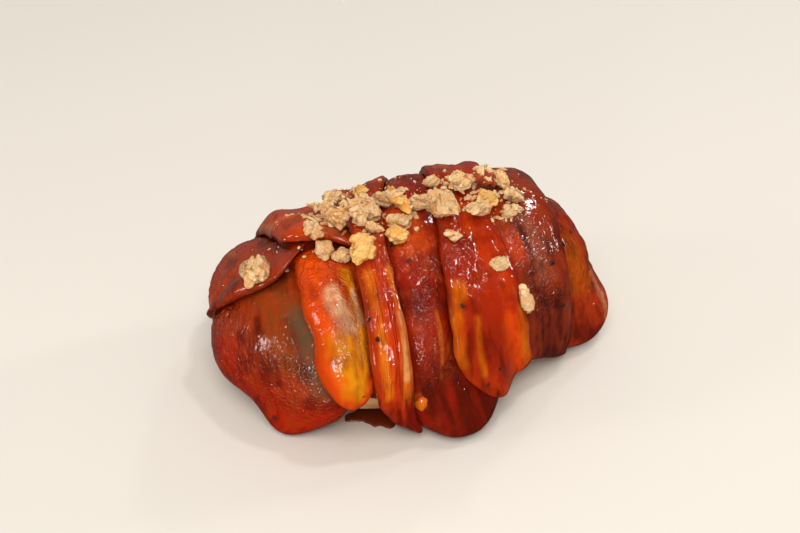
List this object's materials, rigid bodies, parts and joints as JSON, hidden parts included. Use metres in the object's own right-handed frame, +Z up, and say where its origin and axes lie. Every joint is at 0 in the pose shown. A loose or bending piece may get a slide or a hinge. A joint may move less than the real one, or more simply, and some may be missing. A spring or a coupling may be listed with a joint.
{
  "type": "hunters chicken",
  "caption": "Cooked chicken fillet roll wrapped in overlapping glazed bacon rashers, with crisp crumb pieces on top.",
  "frame": {"origin": "middle of the whole bounding box, on the floor under the roll", "axes": "+X along the roll from its broad end to its narrow end, -Y to the front shown in the picture, +Z up"},
  "size_m": [0.1268, 0.0866, 0.064],
  "materials": {
    "chicken": "moist, pale cooked meat",
    "bacon": "red, wet glaze",
    "fatty_bacon": "orange and yellow fat under a wet glaze",
    "dark_bacon": "dark maroon, wet glaze",
    "crumb": "dry, rough, crisp",
    "golden_crumb": "dry, rough, toasted",
    "glazed_crumb": "rough with a thin glaze",
    "red_crumb": "coated in red sauce"
  },
  "bodies": {
    "root": {"chicken_fillet": "chicken", "bacon_rasher_1": "bacon", "bacon_rasher_2": "fatty_bacon", "bacon_rasher_3": "dark_bacon", "bacon_rasher_4": "dark_bacon", "bacon_rasher_5": "bacon", "bacon_rasher_6": "fatty_bacon", "bacon_rasher_7": "dark_bacon", "bacon_rasher_8": "bacon", "bacon_rasher_9": "bacon", "crumb_01": "crumb", "crumb_02": "crumb", "crumb_03": "crumb", "crumb_04": "crumb", "crumb_05": "crumb", "crumb_06": "crumb", "crumb_07": "crumb", "crumb_08": "crumb", "crumb_09": "golden_crumb", "crumb_10": "crumb", "crumb_11": "crumb", "crumb_12": "golden_crumb", "crumb_13": "crumb", "crumb_14": "golden_crumb", "crumb_15": "crumb", "crumb_16": "golden_crumb", "crumb_17": "crumb", "crumb_18": "crumb", "crumb_19": "crumb", "crumb_20": "glazed_crumb", "crumb_21": "red_crumb", "crumb_22": "glazed_crumb", "crumb_23": "crumb", "crumb_24": "crumb", "crumb_25": "golden_crumb", "crumb_26": "crumb", "crumb_27": "crumb", "crumb_28": "crumb", "crumb_29": "crumb"}
  },
  "joints": []
}
